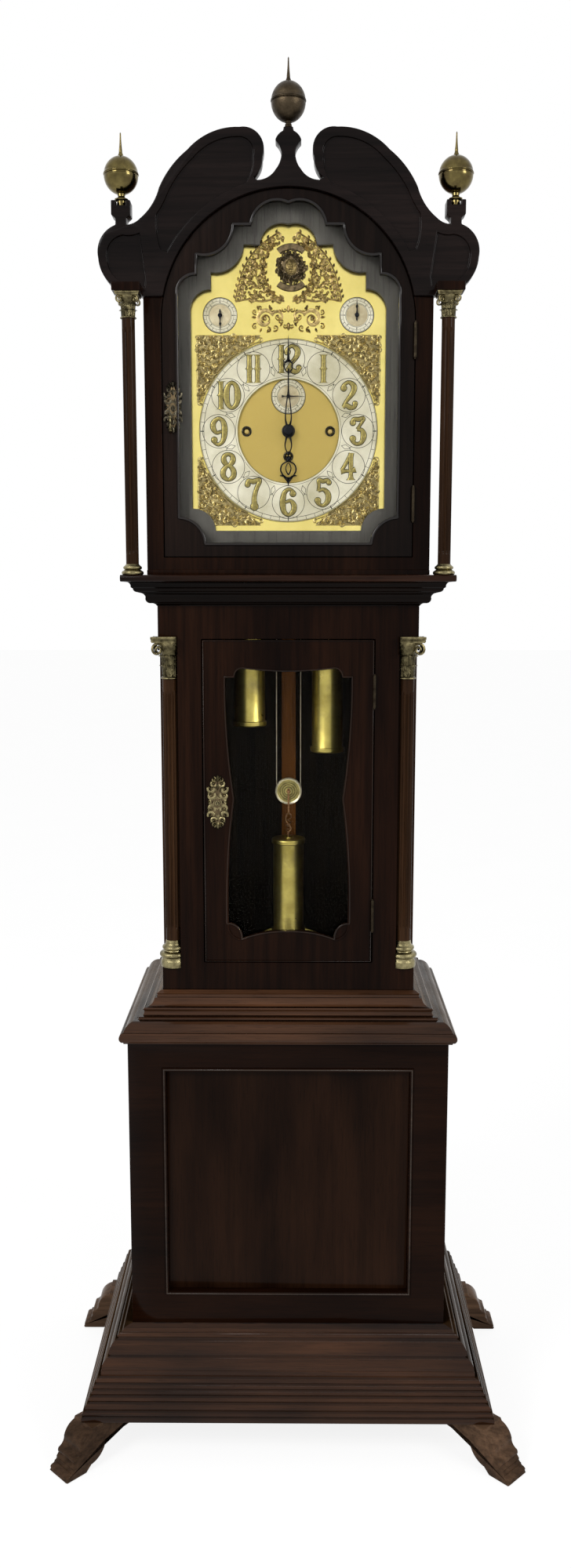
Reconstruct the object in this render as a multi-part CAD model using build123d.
from build123d import *
from math import cos, radians, sin, sqrt
import os

# Longcase clock in millimetres: X to the right, -Y to the front, Z up from the floor.
# The origin is on the floor, under the middle of the whole clock.

# Case heights, from the floor up
foot_height = 71.0
skirt_height = 126.0
base_height = 598.0
surbase_height = 72.0
trunk_height = 643.0
hood_floor = 10.0
hood_side_height = 367.0

# Case widths (halves) and depths
trunk_half = 200.0
trunk_depth = 298.0
base_out = 51.5
skirt_out = 74.0
hood_out = 12.0
hood_front_out = 12.0
hood_base_out = 50.0

# Boards
front_board = 20.0
side_board = 18.0
hood_board = 13.0
back_board = 12.0
floor_board = 14.0
seat_board = 22.0
roof_board = 6.0
mask_board = 7.0
glass = 3.0
glass_lap = 7.0
glass_bead = 6.0
bead_width = 2.0
bead_rise = 1.5

# Bracket feet
foot_length = 190.0
foot_thick = 47.0
foot_out = 33.0
rear_foot_out = 60.0

# Trunk door
trunk_door_half = 132.0
trunk_door_low = 46.0
trunk_door_top = 88.0
window_side = 38.0
door_gap = 1.5

# Quarter columns of the trunk
column_radius = 12.0
rebate_depth = 26.0
rebate_width = 29.0
column_low = 36.0
column_top = 83.0
column_base = 43.0
capital_height = 65.0

# Hood front
hood_door_half = 186.0
hood_door_low = 28.0
arch_band = 14.0
pediment_out = 18.0
field_depth = 4.5
hood_column_side = 20.5
hood_column_out = 33.5
hood_column_radius = 9.5
hood_capital = 35.0
cornice_block = 12.0

# Finials: ball radius, ball centre above the springing of the arch, and its side place
finial_ball = 25.0
centre_finial = 308.0
side_finial = 206.0
side_finial_out = 31.0

# Hinges
pin_radius = 1.5
pin_clearance = 0.06
knuckle_radius = 2.6
leaf_thick = 0.6
leaf_width = 14.0

# Dial: heights are over the hood floor's underside
dial_height = 225.0
dial_behind = 19.5
dial_thick = 3.0
dial_half = 152.0
dial_arch = 128.0
ring_outer = 134.0
ring_inner = 76.6
ring_thick = 2.0
small_ring = 25.0
seconds_up = 51.0
small_dial_x = 102.0
small_dial_up = 168.0
winding_x = 63.0
winding_drop = 37.0
winding_hole = 6.0
mask_up = 236.0
mask_radius = 24.0

# Movement
plate_half = 105.0
plate_height = 215.0
plate_thick = 3.0
front_plate_behind = 54.0
plate_gap = 67.0
arbor_radius = 3.5
hand_arbor = 1.5
centre_arbor = 2.5
running = 0.06
escape_radius = 26.0
escape_teeth = 30
anchor_rise = 40.0
staff_radius = 2.0

# Weights, lines and pulleys
weight_radius = 25.0
cap_lip = 2.5
weight_length = 160.0
cap_thick = 8.0
pulley_rise = 78.0
pulley_radius = 18.7
pulley_width = 8.0
line_radius = 0.8
line_gap = 0.3
line_hole = 0.5
line_behind = 4.0
left_weight_z = 1155.0
right_weight_z = 1113.0
centre_weight_z = 810.0

# Pendulum
pendulum_behind = 32.5
bob_radius = 100.0
bob_thick = 40.0
pendulum_length = 994.0
rod_width = 23.0
rod_thick = 8.0
rod_clearance = 0.1

# Places worked out from the sizes above
overall_depth = trunk_depth + base_out + skirt_out + foot_out + foot_thick / sqrt(8)
back_y = overall_depth / 2
trunk_y = back_y - trunk_depth
base_y = trunk_y - base_out
base_half = trunk_half + base_out
skirt_half = base_half + skirt_out
skirt_y = base_y - skirt_out
base_z = foot_height + base_height
trunk_z = base_z + surbase_height
hood_z = trunk_z + trunk_height
side_z = hood_z + hood_floor
spring_z = side_z + hood_side_height
board_y = back_y - back_board
hood_half = trunk_half + hood_out
hood_y = trunk_y - hood_front_out
hood_base_half = trunk_half + hood_base_out
hood_base_y = trunk_y - hood_base_out
hood_inner = hood_half - hood_board
pediment_y = trunk_y - pediment_out
shell_y = hood_y + front_board
arch_radius = hood_door_half + door_gap
dial_y = trunk_y + dial_behind
dial_z = hood_z + dial_height
plate_y = trunk_y + front_plate_behind
seat_z = dial_z - 109.0
line_y = plate_y + plate_gap / 2 + line_behind
swing_y = plate_y + plate_gap + pendulum_behind
swing_z = dial_z + seconds_up + anchor_rise
rebate_half = trunk_half - rebate_width
hood_column_x = hood_half + hood_column_side
side_finial_x = hood_half + side_finial_out
cap_radius = weight_radius + cap_lip
column_z0 = trunk_z + column_low
column_z1 = hood_z - column_top
column_x = rebate_half + column_radius + line_gap
column_y = trunk_y + rebate_depth - column_radius - line_gap
hood_column_y = trunk_y - hood_column_out
hood_capital_z = spring_z + 1.0
cornice_z = hood_capital_z + hood_capital
weight_x = {"left": -winding_x, "centre": 0.0, "right": winding_x}
weight_z = {"left": left_weight_z, "centre": centre_weight_z, "right": right_weight_z}
barrel_z = {"left": dial_z, "centre": dial_z - winding_drop, "right": dial_z}
strand = pulley_radius + line_radius

FAR = 3000.0
nodes = {}


# Outlines: a third number on a point bows the edge that reaches it, to the left of its travel
def edge(a, b):
    if len(b) > 2:
        return SagittaArc(a[:2], b[:2], b[2])
    return Line(a[:2], b[:2])


def closed(points):
    ring = [*points, points[0]]
    return make_face([edge(a, b) for a, b in zip(ring, ring[1:])])


def symmetric(half):
    """Face from its right half, which starts and ends on the middle line."""
    right = [edge(a, b) for a, b in zip(half, half[1:])]
    left = [mirror(side, about=Plane.YZ) for side in right]
    return make_face(right + left)


def upright(face, y0, y1):
    """Outline seen from the front, from depth y0 to y1."""
    return Pos(0, y1, 0) * extrude(Plane.XZ * face, y1 - y0, dir=(0, -1, 0))


def sideways(face, x0, x1):
    """Outline seen from the side as (depth, height), from x0 to x1."""
    return Pos(x0, 0, 0) * extrude(Plane.YZ * face, x1 - x0, dir=(1, 0, 0))


def flat(face, z0, z1):
    return Pos(0, 0, z0) * extrude(face, z1 - z0, dir=(0, 0, 1))


def block(x0, x1, y0, y1, z0, z1):
    centre = Pos((x0 + x1) / 2, (y0 + y1) / 2, (z0 + z1) / 2)
    return centre * Box(x1 - x0, y1 - y0, z1 - z0)


def rect(x0, x1, z0, z1):
    return Pos((x0 + x1) / 2, (z0 + z1) / 2) * Rectangle(x1 - x0, z1 - z0)


def disc(x, z, radius):
    return Pos(x, z) * Circle(radius)


def banded(points):
    """Turned outline where a bow is two straight cuts through the crown of its arc."""
    cuts = []
    for a, b in zip([points[-1], *points], points):
        if len(b) > 2:
            crown = edge(a, b) @ 0.5
            cuts.append((crown.X, crown.Y))
        cuts.append(b[:2])
    return closed(cuts)


def spun(points, x=0.0, y=0.0, z=0.0):
    """Turned piece: a closed outline of (radius, height) spun about a post at x, y."""
    return Pos(x, y, z) * revolve(Plane.XZ * banded(points), Axis.Z)


def spun_deep(points, x, y, z):
    """Turned piece about a front-to-back line: (radius, distance forwards)."""
    return Pos(x, y, z) * Rot(90, 0, 0) * revolve(Plane.XZ * banded(points), Axis.Z)


def rod(x, z, radius, y0, y1):
    return upright(disc(x, z, radius), y0, y1)


def pair(solid):
    """A piece on the right and its mirror image on the left."""
    return [solid, mirror(solid, about=Plane.YZ)]


def put(name, *pieces):
    solids = []
    for piece in pieces:
        solids += piece.solids()
    nodes[name] = solids


def mitred(profile, half, front):
    """Moulding of (projection, height, bow) points round three sides of a box, cut at its mitres."""
    z0, z1 = profile[0][1], profile[-1][1]
    side = [(0, z0), *[(half + p, z, *bow) for p, z, *bow in profile], (0, z1)]
    deep = [(back_y, z0), *[(front - p, z, *[-b for b in bow]) for p, z, *bow in profile], (back_y, z1)]
    reach = half + 200
    around = sideways(closed(deep), -reach, reach) & upright(symmetric(side), front - 200, back_y)
    around -= block(-half, half, front, back_y, z0, z1)
    wedge = flat(Polygon((-reach, front - 200), (reach, front - 200), (half, front), (-half, front),
                         align=None), z0, z1)
    return [around & wedge, around - wedge]


# Feet and base
def foot_outline():
    """Ogee bracket: distance inwards from the tip, and height."""
    tall = foot_height
    return closed([
        (0, 0), (13, 0.27 * tall, -3), (17, 0.34 * tall), (18, 0.46 * tall), (28, 0.65 * tall, -3),
        (48, 0.94 * tall, 4), (50, tall), (foot_length, tall), (124, 0.62 * tall, 7),
        (77, 0.54 * tall), (48, 0.13 * tall, 7), (38, 0)])


def bracket_feet():
    plank = upright(foot_outline(), -foot_thick / 2, foot_thick / 2)
    tip_x = skirt_half + foot_out
    tip_y = skirt_y - foot_out
    front = Pos(tip_x, tip_y, 0) * Rot(0, 0, 135) * plank
    rear_x = skirt_half + rear_foot_out
    rear = Pos(rear_x, back_y - foot_thick / 2, 0) * Rot(0, 0, 180) * plank
    put("bracket_feet", *pair(front), *pair(rear))


def plinth_moulding():
    z = foot_height
    profile = [
        (73.8, z), (70.3, z + 16, 2), (66, z + 24, -2), (62.4, z + 26), (62.4, z + 34), (58, z + 39),
        (56, z + 54), (46.5, z + 67, 3), (46, z + 73), (38.6, z + 93, -5), (33, z + 95),
        (24, z + 113, 3), (20, z + 116), (15, z + 123, 2), (3, z + skirt_height)]
    put("plinth_moulding", *mitred(profile, base_half, base_y))


def base_carcase():
    floor = block(-base_half, base_half, base_y, back_y, foot_height, foot_height + floor_board)
    side = block(base_half - front_board, base_half, base_y + front_board, board_y,
                 foot_height + floor_board, base_z)
    put("base_carcase", floor, *pair(side))


def base_front():
    low = foot_height + floor_board
    border = 54.0
    opening = [base_half - border, foot_height + 175, base_z - 40]
    half, z0, z1 = opening
    frame = upright(rect(-base_half, base_half, low, base_z) - rect(-half, half, z0, z1),
                    base_y, base_y + front_board)
    bead = 5.5
    ring = rect(-half, half, z0, z1) - rect(bead - half, half - bead, z0 + bead, z1 - bead)
    put("base_front_frame", frame, upright(ring, base_y - 2, base_y + front_board))
    half, z0, z1 = half - bead, z0 + bead, z1 - bead
    bevel, rise, sunk = 22.0, 6.0, 4.0
    face = base_y + sunk
    slab = block(-half, half, face + rise, base_y + front_board - 2, z0, z1)
    edge_face = Pos(0, face + rise, 0) * Plane.XZ * rect(-half, half, z0, z1)
    top_face = Pos(0, face, 0) * Plane.XZ * rect(bevel - half, half - bevel, z0 + bevel, z1 - bevel)
    put("base_panel", slab + loft([edge_face, top_face]))


def base_top_moulding():
    z = base_z
    profile = [
        (52, z), (60, z + 3), (60, z + 19, -4), (56, z + 22), (36, z + 34, -4), (36, z + 38),
        (29, z + 39), (29, z + 48), (27, z + 50), (12, z + 62, 4), (9, z + 62), (9, z + 68),
        (2, z + surbase_height)]
    put("base_top_moulding", *mitred(profile, trunk_half, trunk_y))


# Trunk
def window(grow=0.0):
    """Shaped window of the trunk door; grow opens it evenly for the glass."""
    half = trunk_door_half - window_side + grow
    z0 = trunk_z + trunk_door_low
    z1 = hood_z - trunk_door_top
    waist = half - 9
    top = z1 - 48 + grow
    low = z0 + 63 - grow
    return symmetric([
        (0, top), (half - 24, top + 5, -1), (half - 11, top - 9, 4), (half + 4, top - 9),
        (waist, (top + low) / 2, 0.4 * 9), (half, low, 0.4 * 9), (half - 21, low - 26, 7),
        (0, low - 13, -4)])


def trunk_door_outline(grow=0.0):
    z0 = trunk_z + trunk_door_low
    z1 = hood_z - trunk_door_top
    return rect(-trunk_door_half - grow, trunk_door_half + grow, z0 - grow, z1 + grow)


def trunk_front():
    board = rect(-trunk_half, trunk_half, base_z - 69, hood_z)
    for side in (-1, 1):
        board -= rect(min(side * rebate_half, side * FAR), max(side * rebate_half, side * FAR),
                      column_z0, column_z1)
    board -= trunk_door_outline(door_gap)
    put("trunk_front_frame", upright(board, trunk_y, trunk_y + front_board))


def trunk_sides():
    inner = trunk_half - side_board
    front = trunk_y + front_board
    rebate_y = trunk_y + rebate_depth
    board = block(inner, trunk_half, front, board_y, base_z - 69, hood_z)
    board -= block(inner - 1, trunk_half + 1, front - 1, rebate_y, column_z0, column_z1)
    cheek = block(inner, trunk_half - 3.5, front, board_y, hood_z, seat_z - seat_board)
    post = flat(Polygon((inner - 30, front), (rebate_half, front), (rebate_half, rebate_y),
                        (inner, rebate_y), (inner, rebate_y + 20), (inner - 30, rebate_y + 20),
                        align=None), column_z0 - 30, column_z1 + 30)
    put("trunk_sides", *pair(board + cheek), *pair(post))


def backboard():
    half = trunk_half - 3.5
    outline = symmetric([
        (0, spring_z + half), (half, spring_z, half * (1 - sqrt(0.5))), (half, hood_z),
        (trunk_half, hood_z), (trunk_half, base_z), (base_half, base_z),
        (base_half, foot_height + floor_board), (0, foot_height + floor_board)])
    put("backboard", upright(outline, board_y, back_y))


def waist_moulding():
    z = hood_z - 36
    profile = [
        (0.5, z), (2, z + 2), (9, z + 4), (16, z + 13, -3), (21, z + 19), (29, z + 21),
        (33, z + 26, -1), (36, z + 28), (44, z + 36, 3)]
    put("waist_moulding", *mitred(profile, trunk_half, trunk_y))


def fluted(radius, flutes, cut, z0, z1):
    """Shaft with flutes that stop short of its ends."""
    shaft = Pos(0, 0, z0) * Cylinder(radius, z1 - z0, align=(Align.CENTER, Align.CENTER, Align.MIN))
    stop = 2 * radius
    grooves = Sketch() + [
        Rot(0, 0, 360 / flutes * i) * Pos(radius, 0) * RegularPolygon(cut, 6)
        for i in range(flutes)]
    return shaft - flat(grooves, z0 + stop, z1 - stop)


def trunk_columns():
    shaft = fluted(column_radius, 12, 2.0, column_z0 + column_base, column_z1 - capital_height)
    put("trunk_columns", *pair(Pos(column_x, column_y, 0) * shaft))
    corner = block(rebate_half, trunk_half + 14, trunk_y - 14, trunk_y + rebate_depth,
                   column_z0, column_z1)
    r = column_radius
    foot = spun([(0, 0), (r + 8, 0), (r + 8, 12), (r + 6, 24), (r + 2, 27), (r + 4, 33),
                 (r, column_base), (0, column_base)], column_x, column_y, column_z0)
    z = column_z1 - capital_height
    bell = spun([(0, 0), (r + 2, 0), (r + 1, 5), (r + 2, 30), (r + 13, 52), (0, 52)],
                column_x, column_y, z)
    abacus = block(rebate_half, trunk_half + 12, trunk_y - 12, trunk_y + rebate_depth,
                   z + 52, column_z1)
    put("trunk_column_mounts", *pair(foot & corner), *pair((bell & corner) + abacus))


# Door furniture
def hinge(x, face, z0, z1):
    """Butt hinge on a door's right edge: the door's half and the fixed half with its pin."""
    axis_y = face - knuckle_radius - 0.05
    third = (z1 - z0) / 3
    door_leaf = block(x - door_gap / 2, x - door_gap / 2 + leaf_thick, axis_y, face + leaf_width, z0, z1)
    post_leaf = block(x + door_gap / 2 - leaf_thick, x + door_gap / 2, axis_y, face + leaf_width, z0, z1)
    cut = flat(disc(x, axis_y, knuckle_radius + 0.15), z0 + third, z1 - third)
    ends = flat(disc(x, axis_y, knuckle_radius + 0.15), z0, z1) - cut
    outer = flat(disc(x, axis_y, knuckle_radius), z0, z1)
    bore = flat(disc(x, axis_y, pin_radius + pin_clearance), z0, z1)
    middle = flat(disc(x, axis_y, knuckle_radius), z0 + third + 0.15, z1 - third - 0.15)
    pin = flat(disc(x, axis_y, pin_radius), z0 - 2, z1 + 2)
    door = (door_leaf - cut) + (outer - cut) - bore
    post = (post_leaf - ends) + middle + pin
    return door, post


def trunk_door():
    face = trunk_y - 1
    back = face + front_board
    door = upright(trunk_door_outline() - window(), face, back)
    door += upright(window(bead_width) - window(), face - bead_rise, face)
    door -= upright(window(glass_lap), back - glass_bead - glass, back)
    hinge_x = trunk_door_half + door_gap / 2
    keyhole_z = (trunk_z + hood_z) / 2 - 18
    lock = lock_body(-trunk_door_half + 22, keyhole_z, face, back, 34, 89)
    put("trunk_door", door - lock[1])
    put("trunk_door_glass", upright(window(glass_lap), back - glass_bead - glass, back - glass_bead))
    put("trunk_door_lock", *lock[0])
    z0 = trunk_z + trunk_door_low + 51
    z1 = hood_z - trunk_door_top - 54
    pairs = [hinge(hinge_x, face, z0, z0 + 50), hinge(hinge_x, face, z1 - 50, z1)]
    put("trunk_door_hinges", pairs[0][0], pairs[1][0])
    put("trunk_hinge_pins", pairs[0][1], pairs[1][1])


def lock_body(x, z, face, back, wide, tall):
    """Scrolled escutcheon on the face and lock case behind the rail, and the hole that joins them."""
    keyhole = disc(x, z + 3, 2.4) + rect(x - 1.2, x + 1.2, z - 7, z + 3)
    side, top = wide / 2, tall / 2
    scroll = symmetric([
        (0, top), (0.35 * side, 0.8 * top, 1), (0.9 * side, 0.72 * top, 2), (0.6 * side, 0.5 * top, 1),
        (side, 0.22 * top, 2), (0.7 * side, 0), (side, -0.22 * top), (0.6 * side, -0.5 * top, 2),
        (0.9 * side, -0.72 * top, 1), (0.35 * side, -0.8 * top, 2), (0, -top, 1)])
    plate = upright(Pos(x, z) * scroll - keyhole, face - 1.5, face)
    case = block(x - 13, x + 9, back, back + 9, z - 25, z + 25)
    return [plate, case], upright(keyhole, face, back)


# Hood
def hood_base():
    frame = block(-hood_base_half, hood_base_half, hood_base_y, back_y, hood_z, side_z)
    nose = hood_floor / 2 - 0.5
    front_edges = frame.faces().sort_by(Axis.Y)[0].edges()
    level = [e for e in front_edges if abs(e.center().X) < 1]
    frame = fillet(level, nose)
    inner = trunk_half - 1.5
    frame -= block(-inner, inner, trunk_y + 11, back_y + 1, hood_z - 1, side_z + 1)
    put("hood_base_frame", frame)


def arch_face(half, spring, low):
    """Round-headed outline."""
    return symmetric([(0, spring + half), (half, spring, half * (1 - sqrt(0.5))), (half, low), (0, low)])


def hood_shell():
    side = block(hood_inner, hood_half, shell_y, back_y, side_z, spring_z)
    put("hood_sides", *pair(side))
    opening = arch_face(arch_radius, spring_z, side_z + hood_door_low - door_gap)
    frame = rect(-hood_half - 1, hood_half + 1, side_z, cornice_z) - opening
    rail = block(-hood_half - 1, hood_half + 1, hood_y - 5, hood_y, side_z, side_z + 8)
    cap_half = 20.5
    cornice = block(hood_column_x - cap_half + 1, hood_column_x + cap_half + 1,
                    hood_column_y - cap_half, pediment_y, cornice_z, cornice_z + cornice_block)
    put("hood_front_frame", upright(frame, hood_y, shell_y) + rail, *pair(cornice))
    vault = disc(0, spring_z, hood_inner + roof_board) - disc(0, spring_z, hood_inner)
    vault &= rect(-FAR, FAR, spring_z, FAR)
    put("hood_roof", upright(vault, shell_y, back_y))


def pediment_outline():
    """Swan-neck pediment with side ears, from its middle pedestal to the arch."""
    z = spring_z
    side = side_finial_x
    top = z + 169
    return symmetric([
        (0, z + 268), (7, z + 268), (7, z + 263), (19, z + 250, 2), (11, z + 225, -4),
        (18, z + 211, -1), (45, z + 196, -4), (51, z + 199), (37, z + 228, 4),
        (70, z + 268, 15), (146, z + 237, 9), (187, z + 186, 4), (215, z + 144, -4),
        (side - 8, z + 135, -2), (side - 8, z + 144), (side - 14, z + 149), (side - 14, top),
        (side - 7, top), (side - 7, top - 7), (side + 7, top - 7), (side + 7, top),
        (side + 14, top), (side + 14, z + 149), (side + 8, z + 144), (side + 8, z + 135),
        (side + 34, z + 89, 10), (side - 5, z + 41, 10), (hood_half + 1, z + 36, -2),
        (0, z + 36)])


def pediment():
    arch = disc(0, spring_z, arch_radius)
    outline = pediment_outline() - arch
    board = upright(outline, pediment_y, shell_y)
    z = spring_z
    band = arch_radius + arch_band
    ear = closed([
        (band + 6, z + 62), (216, z + 124), (240, z + 121, -2), (264, z + 88, 9),
        (236, z + 54, 8), (band + 8, z + 49, -1)])
    near, far = radians(18), radians(61)
    rise = band * (1 - cos((far - near) / 2))
    neck = closed([
        (band * sin(near), z + band * cos(near), -rise), (51, z + 228, 4), (72, z + 255, 9),
        (138, z + 226, 8), (175, z + 178, 3), (191, z + 150, -1), (186, z + 101, 3),
        (band * sin(far), z + band * cos(far))])
    for field in (ear, neck):
        for shape in (field, mirror(field, about=Plane.YZ)):
            board -= upright(shape, pediment_y - 1, pediment_y + field_depth)
    put("pediment_board", board)


def hood_columns():
    r = hood_column_radius
    z0, z1 = side_z + 16, hood_capital_z
    put("hood_columns", *pair(Pos(hood_column_x, hood_column_y, 0) * fluted(r, 10, 1.8, z0, z1)))
    foot = spun([(0, 0), (r + 5, 0), (r + 5, 6), (r + 2, 8), (r + 3, 12), (r, 16), (0, 16)],
                hood_column_x, hood_column_y, side_z)
    bell = spun([(0, 0), (r + 1, 0), (r + 1, 16), (r + 7, 29), (0, 29)],
                hood_column_x, hood_column_y, z1)
    half = 18.0
    abacus = Pos(hood_column_x, hood_column_y, z1 + 29) * Box(
        2 * half, 2 * half, hood_capital - 29, align=(Align.CENTER, Align.CENTER, Align.MIN))
    put("hood_column_mounts", *pair(foot), *pair(bell + abacus))


def finials():
    y = (pediment_y + shell_y) / 2
    r = finial_ball
    neck = [(0, -40), (9, -40), (11, -36), (6, -30), (7, -r + 1)]
    ball = [(r, 0, -7), (5, r - 0.5, -8), (2.5, r + 10), (0.6, r + 33), (0, r + 33)]
    side_neck = [(0, -44), (6.5, -44), (6.5, -36), (10, -33), (6, -r + 1)]
    centre = spun(neck + ball, 0, y, spring_z + centre_finial)
    side = spun(side_neck + ball, side_finial_x, y, spring_z + side_finial)
    put("finials", centre, *pair(side))


def mask_opening():
    """Opening of the mask that frames the dial, cut to the dial's shaped top."""
    z = spring_z
    half = dial_half - 6.5
    low = dial_z - 148
    return symmetric([
        (0, z + 142), (42, z + 113, 13), (66, z + 114), (115, z + 75, -14), (115, z + 51),
        (half, z + 24, 8), (half, low + 33), (half - 35, low, -10), (0, low)])


def dial_mask():
    outer = arch_face(hood_inner - 0.5, spring_z, side_z + 2)
    put("dial_mask", upright(outer - mask_opening(), shell_y, shell_y + mask_board))


def door_opening(grow=0.0):
    """Shaped glass opening of the hood door."""
    z = spring_z
    half = hood_door_half - 23 + grow
    low = side_z + 47 - grow
    return symmetric([
        (0, z + 166 + grow), (54 + grow, z + 136 + grow, 16), (80 + grow, z + 136 + grow),
        (134 + grow, z + 95 + grow, -17), (134 + grow, z + 67 + grow), (half, z + 38, 10),
        (half, low + 39), (half - 39, low, -11), (0, low)])


def hood_door():
    face = hood_y
    back = face + front_board - 1
    outline = arch_face(hood_door_half, spring_z, side_z + hood_door_low)
    rebate = door_opening(glass_lap)
    door = upright(outline - door_opening(), face, back)
    door += upright(door_opening(bead_width) - door_opening(), face - bead_rise, face)
    door -= upright(rebate, back - glass_bead - glass, back)
    lock = lock_body(-hood_door_half + 11, dial_z + 31, face, back, 19, 78)
    put("hood_door", door - lock[1])
    put("hood_door_glass", upright(rebate, back - glass_bead - glass, back - glass_bead))
    pull_x, pull_y, pull_z = -hood_door_half + 11, face - 6.5, dial_z + 16
    ears = [block(pull_x + side * 2.6 - 0.7, pull_x + side * 2.6 + 0.7, pull_y - 2.2, face - 1,
                  pull_z - 2.2, pull_z + 2.2) for side in (-1, 1)]
    pin = sideways(disc(pull_y, pull_z, 1), pull_x - 3.3, pull_x + 3.3)
    put("hood_door_lock", lock[0][0] + ears[0] + ears[1] + pin)
    x = hood_door_half + door_gap / 2
    z0, z1 = side_z + 80, spring_z - 1
    pairs = [hinge(x, face, z0, z0 + 50), hinge(x, face, z1 - 50, z1)]
    put("hood_door_hinges", pairs[0][0], pairs[1][0])
    put("hood_hinge_pins", pairs[0][1], pairs[1][1])
    eye = disc(pull_y, pull_z, 2.4) - disc(pull_y, pull_z, 1 + running)
    drop = spun([(0, -2), (1.2, -2), (1.2, -9), (2.8, -14), (3.6, -18), (1, -22), (0, -22)],
                pull_x, pull_y, pull_z)
    put("hood_door_pull", sideways(eye, pull_x - 1.6, pull_x + 1.6) + drop)


# Dial
def dial_holes():
    holes = Sketch() + disc(0, dial_z, centre_arbor + 3)
    holes += disc(0, dial_z + seconds_up, hand_arbor + running)
    for x in (-small_dial_x, small_dial_x):
        holes += disc(x, dial_z + small_dial_up, hand_arbor + running)
    for side in weight_x:
        holes += disc(weight_x[side], barrel_z[side], winding_hole)
    return holes


def dial():
    low = dial_z - 154
    spring = dial_z + 186
    face = rect(-dial_half, dial_half, low, spring + 19) + disc(0, spring, dial_arch)
    plate = upright(face - dial_holes(), dial_y, dial_y + dial_thick)
    feet = [rod(x, z, 4, dial_y + dial_thick, plate_y)
            for x in (-80, 80) for z in (dial_z - 80, dial_z + 80)]
    put("dial_plate", plate, *feet)
    front, back = dial_y - ring_thick, dial_y
    rings = [upright(disc(0, dial_z, ring_outer) - disc(0, dial_z, ring_inner), front, back)]
    small = [(0, seconds_up), (-small_dial_x, small_dial_up), (small_dial_x, small_dial_up)]
    for x, up in small:
        ring = disc(x, dial_z + up, small_ring) - disc(x, dial_z + up, small_ring - 9)
        rings.append(upright(ring, dial_y - 1, dial_y))
    put("chapter_rings", *rings)


def dial_mounts():
    """Cast corner pieces outside the chapter ring, and the two mounts of the dial's arch."""
    half, leg, z = ring_outer + 3, 96.0, dial_z
    top = z + half + 3
    corner = closed([
        (half, top), (half - leg + 6, top), (half - leg, top - 6, 2), (half - 62, top - 14, -3),
        (half - 14, top - 62, 7), (half - 6, top - leg, -3), (half, top - leg + 6, 2)])
    corner -= disc(half - 20, top - 20, 8)
    upper = upright(corner, dial_y - 3.5, dial_y)
    lower = Pos(0, 0, 2 * z) * mirror(upper, about=Plane.XY)
    middle = z + mask_up
    sprays = symmetric([
        (0, z + 288), (26, z + 270, 5), (30, z + 254, -3), (58, z + 248, 8), (58, z + 226, -3),
        (78, z + 196, 6), (78, z + 186, 2), (40, z + 190, 3), (0, z + 187, 3)])
    sprays -= disc(0, middle, mask_radius + 9)
    sprays -= disc(-46, z + 208, 7)
    sprays -= disc(46, z + 208, 7)
    ring = disc(0, middle, mask_radius + 8) - disc(0, middle, mask_radius + 1)
    crescents = [upright(ring & rect(-22, 22, middle + way * 26 - 16, middle + way * 26 + 16),
                         dial_y - 2, dial_y) for way in (-1, 1)]
    face = spun_deep([(0, 0), (mask_radius, 0), (mask_radius - 4, 8), (9, 14), (0, 14)], 0, dial_y, middle)
    scroll = symmetric([
        (0, z + 180), (14, z + 171, 3), (38, z + 178, -5), (54, z + 163, 6), (36, z + 152, 4),
        (0, z + 146, -3)])
    put("dial_mounts", *pair(upper), *pair(lower), upright(sprays, dial_y - 3, dial_y), *crescents,
        face, upright(scroll, dial_y - 2.5, dial_y))


def hand_outline(lens, loop, loop_radius, length):
    """Hand that points up from 0, 0: a pierced lens, a ring with two spurs, and a tapered point."""
    shape = symmetric([(0, lens + 2), (1.2, lens), (5.4, lens * 0.45, 1), (2.4, 0, 1), (0, 0)])
    shape -= symmetric([(0, lens - 8), (3.2, lens * 0.45, 0.8), (0, lens * 0.3, 0.5)])
    far = loop + loop_radius
    shape += rect(-1.2, 1.2, lens, loop - loop_radius + 1)
    shape += disc(0, loop, loop_radius) - disc(0, loop, loop_radius - 2.2)
    shape += symmetric([(0, far + 1), (loop_radius, far - 3, -1), (loop_radius, far - 5), (0, far - 4, 1)])
    return shape + symmetric([(0, length), (0.5, length), (2.6, far - 1), (0, far - 1)])


def hands():
    y = dial_y - ring_thick
    pipe_out, pipe_bore = centre_arbor + 2.6, centre_arbor + running
    hour = Pos(0, dial_z) * Rot(0, 0, 180) * (hand_outline(38, 57, 11, 82) + Circle(9.6))
    pipe = disc(0, dial_z, pipe_out)
    bore = upright(disc(0, dial_z, pipe_bore), y - 6, plate_y)
    put("hour_hand", upright(hour, y - 5, y - 3.5) + upright(pipe, y - 3.5, plate_y - 1) - bore)
    minute = Pos(0, dial_z) * (hand_outline(60, 91, 7, 138) + Circle(8.6))
    cap = spun_deep([(0, 0), (7, 0), (5, 3), (0, 3)], 0, y - 9, dial_z)
    put("minute_hand", upright(minute, y - 9, y - 7.5) + cap
        + rod(0, dial_z, centre_arbor, y - 7.5, plate_y + plate_gap))
    seconds_z = dial_z + seconds_up
    blade = symmetric([(0, 20), (0.6, 20), (1.4, 2), (1.8, -9), (0, -9)]) + Circle(3)
    put("seconds_hand", upright(Pos(0, seconds_z) * Rot(0, 0, -90) * blade, y - 2.5, y - 1.5)
        + rod(0, seconds_z, hand_arbor, y - 1.5, plate_y + plate_gap))
    pointer = symmetric([(0, 20), (2.5, 12), (1.2, 3), (1.2, -8), (0, -8)]) + Circle(3)
    for name, x, turn in (("silent_hand", -small_dial_x, 180), ("chime_hand", small_dial_x, 0)):
        place = Pos(x, dial_z + small_dial_up) * Rot(0, 0, turn)
        put(name, upright(place * pointer, dial_y - 4, dial_y - 3)
            + rod(x, dial_z + small_dial_up, hand_arbor, dial_y - 3, dial_y + 12))


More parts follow.
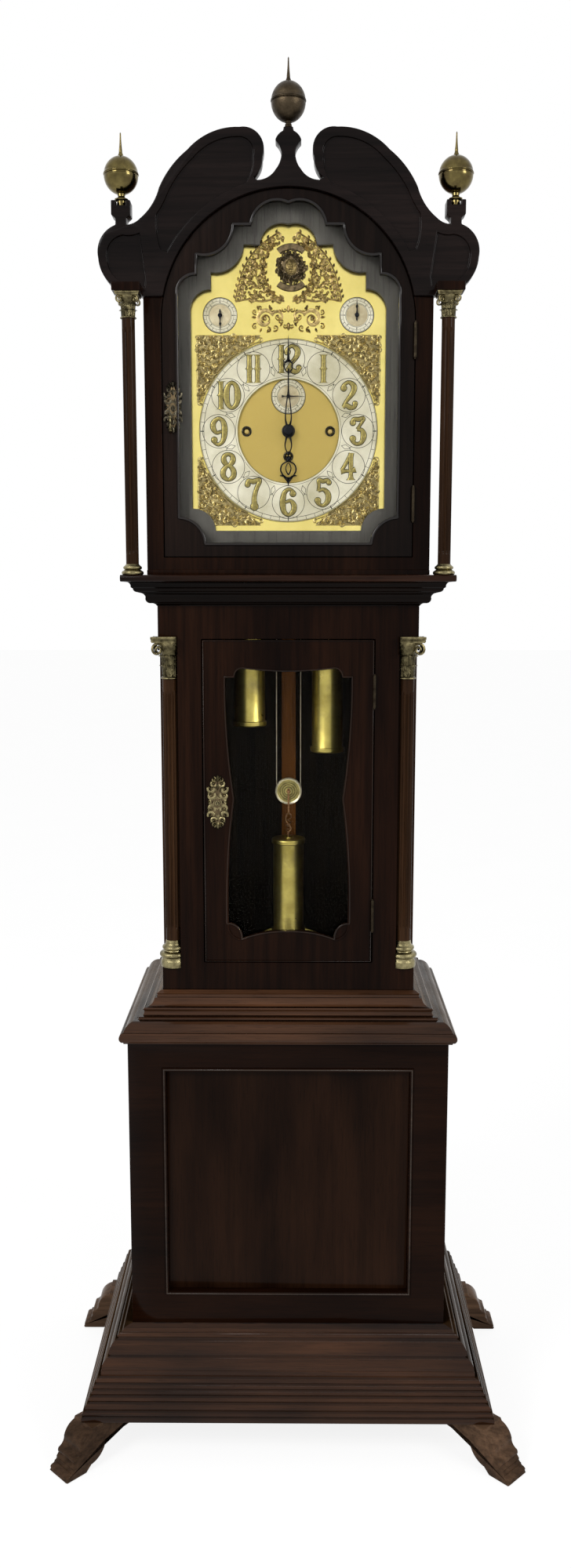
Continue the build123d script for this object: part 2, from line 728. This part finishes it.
# Movement
def movement_frame():
    low, high = seat_z, seat_z + plate_height
    outline = rect(-plate_half, plate_half, low, high)
    bores = disc(0, dial_z, centre_arbor + running)
    bores += disc(0, dial_z + seconds_up, hand_arbor + running)
    bores += disc(0, swing_z, staff_radius + running)
    for side in weight_x:
        bores += disc(weight_x[side], barrel_z[side], arbor_radius + running)
    front = upright(outline - bores, plate_y, plate_y + plate_thick)
    back_plate_y = plate_y + plate_gap
    back = upright(outline - bores, back_plate_y, back_plate_y + plate_thick)
    pillars = [rod(x, z, 5, plate_y + plate_thick, back_plate_y)
               for x in (12 - plate_half, plate_half - 12) for z in (low + 12, high - 12)]
    cock_z = swing_z + 6
    cock = block(-16, 16, back_plate_y + plate_thick, swing_y - 5, cock_z + 8, cock_z + 14)
    cheeks = [block(side * 10 - 3, side * 10 + 3, swing_y - 8, swing_y + 8, cock_z - 6, cock_z + 8)
              for side in (-1, 1)]
    put("movement_frame", front, back, *pillars, cock + block(
        -16, 16, swing_y - 8, swing_y + 8, cock_z + 8, cock_z + 14) + cheeks[0] + cheeks[1])


def seatboard():
    half = trunk_half - 3.5
    board = rect(-half, half, plate_y - 6, plate_y + plate_gap + 16)
    for side in weight_x:
        for way in (-1, 1):
            board -= disc(weight_x[side] + way * strand, line_y, line_radius + line_hole)
    put("seatboard", flat(board, seat_z - seat_board, seat_z))


def bells():
    """Nest of bells on one rod, over the movement."""
    y0, z = plate_y + 8, seat_z + plate_height + 44
    nest = []
    for i in range(3):
        r = 40 - 7 * i
        nest.append(spun_deep([(3, 0), (r * 0.5, 0), (r, -r * 0.6), (r - 2, -r * 0.6), (r * 0.5, -2.5),
                               (3, -2.5)], 0, y0 + 10 + 15 * i, z))
    spindle = rod(0, z, 3, y0 - 2, y0 + 60)
    post = block(-5, 5, y0 - 6, y0 - 2, seat_z + plate_height, z + 8)
    foot = block(-5, 5, plate_y, y0 - 2, seat_z + plate_height, seat_z + plate_height + 4)
    put("bell_nest", *nest, spindle + post + foot)


def escapement():
    """Escape wheel with raked teeth, and the anchor above it with its crutch."""
    z = dial_z + seconds_up
    y = plate_y + 40
    root = escape_radius - 5
    pitch = 360 / escape_teeth
    points = []
    for i in range(escape_teeth):
        for radius, lead in ((root, 0.0), (escape_radius, 0.42), (escape_radius, 0.52), (root, 0.6)):
            turn = radians((i + lead) * pitch)
            points.append((radius * cos(turn), radius * sin(turn)))
    wheel = closed(points) - Circle(root - 4)
    spokes = Sketch() + [Rot(0, 0, 45 * i) * Rectangle(2 * root - 6, 4) for i in (0, 2)]
    wheel = wheel + spokes + Circle(6) - Circle(hand_arbor)
    put("escape_wheel", upright(Pos(0, z) * wheel, y, y + 2.5))
    arms = symmetric([
        (0, swing_z + 6), (6, swing_z + 4), (30, z + 22, 3), (34, z + 8, 2), (30.5, z + 8),
        (27, z + 18), (5, swing_z - 5, -3), (0, swing_z - 5)])
    staff = rod(0, swing_z, staff_radius, plate_y, swing_y - 12)
    crutch = block(-3, 3, swing_y - 14, swing_y - 12, swing_z - 92, swing_z)
    fork = block(-3, 3, swing_y - 12, swing_y - rod_thick / 2, swing_z - 92, swing_z - 86)
    put("pallets", upright(arms, y, y + 3) + staff + crutch + fork)


def barrels():
    for side, x in weight_x.items():
        z = barrel_z[side]
        drum_y0, drum_y1 = plate_y + 14, plate_y + plate_gap - 10
        body = rod(x, z, pulley_radius - line_gap, drum_y0, drum_y1)
        wheel = rod(x, z, winding_drop - centre_arbor - 0.5, drum_y1, drum_y1 + 3)
        flange = rod(x, z, pulley_radius + 4, drum_y0 - 2, drum_y0)
        arbor = rod(x, z, arbor_radius, dial_y + 5, plate_y + plate_gap + plate_thick)
        square = upright(Pos(x, z) * Rectangle(5, 5), dial_y - 1, dial_y + 5)
        put(f"barrel_{side}", body + wheel + flange + arbor + square)


def line_ends():
    """Line from the seatboard up to each barrel, and the toggle that holds the other end."""
    pieces = []
    for side, x in weight_x.items():
        pieces.append(flat(disc(x + strand, line_y, line_radius), seat_z, barrel_z[side]))
        pieces.append(block(x - strand - 6, x - strand + 6, line_y - 2, line_y + 2, seat_z, seat_z + 4))
    put("line_ends", *pieces)


# Weights
def weights():
    for side, x in weight_x.items():
        z = weight_z[side]
        top = z + weight_length
        axle = top + pulley_rise
        shell = [(0, 0), (cap_radius - 2, 0), (cap_radius, 2), (cap_radius, cap_thick),
                 (weight_radius, cap_thick), (weight_radius, weight_length - cap_thick),
                 (cap_radius, weight_length - cap_thick), (cap_radius, weight_length),
                 (0, weight_length)]
        hook = Pos(x, line_y, top) * Cylinder(
            2, 40, align=(Align.CENTER, Align.CENTER, Align.MIN))
        half = pulley_width / 2
        cheek = closed([(x - 6, top + 40), (x + 6, top + 40), (x + 5, axle + 5), (x - 5, axle + 5, 5)])
        front = upright(cheek, line_y - half - 3, line_y - half - 1)
        back = upright(cheek, line_y + half + 1, line_y + half + 3)
        bridge = block(x - 6, x + 6, line_y - half - 3, line_y + half + 3, top + 40, top + 46)
        pin = rod(x, axle, 2, line_y - half - 1, line_y + half + 1)
        put(f"weight_{side}", spun(shell, x, line_y, z) , hook, front + back + bridge + pin)
        groove = spun_deep([
            (2 + running, -half), (pulley_radius + 3, -half), (pulley_radius - line_gap, -1),
            (pulley_radius - line_gap, 1), (pulley_radius + 3, half), (2 + running, half)],
            x, line_y, axle)
        put(f"pulley_{side}", groove)
        strands = [Pos(x + way * strand, line_y, axle) * Cylinder(
            line_radius, seat_z - axle, align=(Align.CENTER, Align.CENTER, Align.MIN))
            for way in (-1, 1)]
        put(f"weight_line_{side}", *strands)


# Pendulum
def pendulum():
    bob_z = swing_z - pendulum_length
    spring = block(-6, 6, swing_y - 0.2, swing_y + 0.2, swing_z - 34, swing_z + 4)
    top = block(-6.2, 6.2, swing_y - 4, swing_y + 4, swing_z + 2, swing_z + 8)
    wood = block(-rod_width / 2, rod_width / 2, swing_y - rod_thick / 2, swing_y + rod_thick / 2,
                 bob_z - bob_radius + 12, swing_z - 30)
    low = bob_z - bob_radius
    stem = flat(disc(0, swing_y, 2.5), low - 30, low + 12)
    nut = flat(disc(0, swing_y, 9) - disc(0, swing_y, 2.5), low - 8, low)
    put("pendulum_rod", wood + spring + top + stem, nut)
    half = bob_thick / 2
    bob = spun_deep([
        (0, -half), (40, -half), (bob_radius, -1.5, 6), (bob_radius, 1.5), (40, half, 6), (0, half)],
        0, swing_y, bob_z)
    slot = block(-rod_width / 2 - rod_clearance, rod_width / 2 + rod_clearance,
                 swing_y - rod_thick / 2 - rod_clearance, swing_y + rod_thick / 2 + rod_clearance,
                 bob_z - FAR, bob_z + FAR)
    put("pendulum_bob", bob - slot)


def build():
    bracket_feet()
    plinth_moulding()
    base_carcase()
    base_front()
    base_top_moulding()
    trunk_front()
    trunk_sides()
    backboard()
    waist_moulding()
    trunk_columns()
    trunk_door()
    hood_base()
    hood_shell()
    pediment()
    hood_columns()
    finials()
    dial_mask()
    hood_door()
    dial()
    dial_mounts()
    hands()
    movement_frame()
    seatboard()
    bells()
    escapement()
    barrels()
    line_ends()
    weights()
    pendulum()


build()
os.makedirs("parts", exist_ok=True)
for name, solids in nodes.items():
    shape = solids[0] if len(solids) == 1 else Compound(children=solids)
    export_step(shape, f"parts/{name}.step")
print(len(nodes), "nodes,", sum(len(s) for s in nodes.values()), "solids")
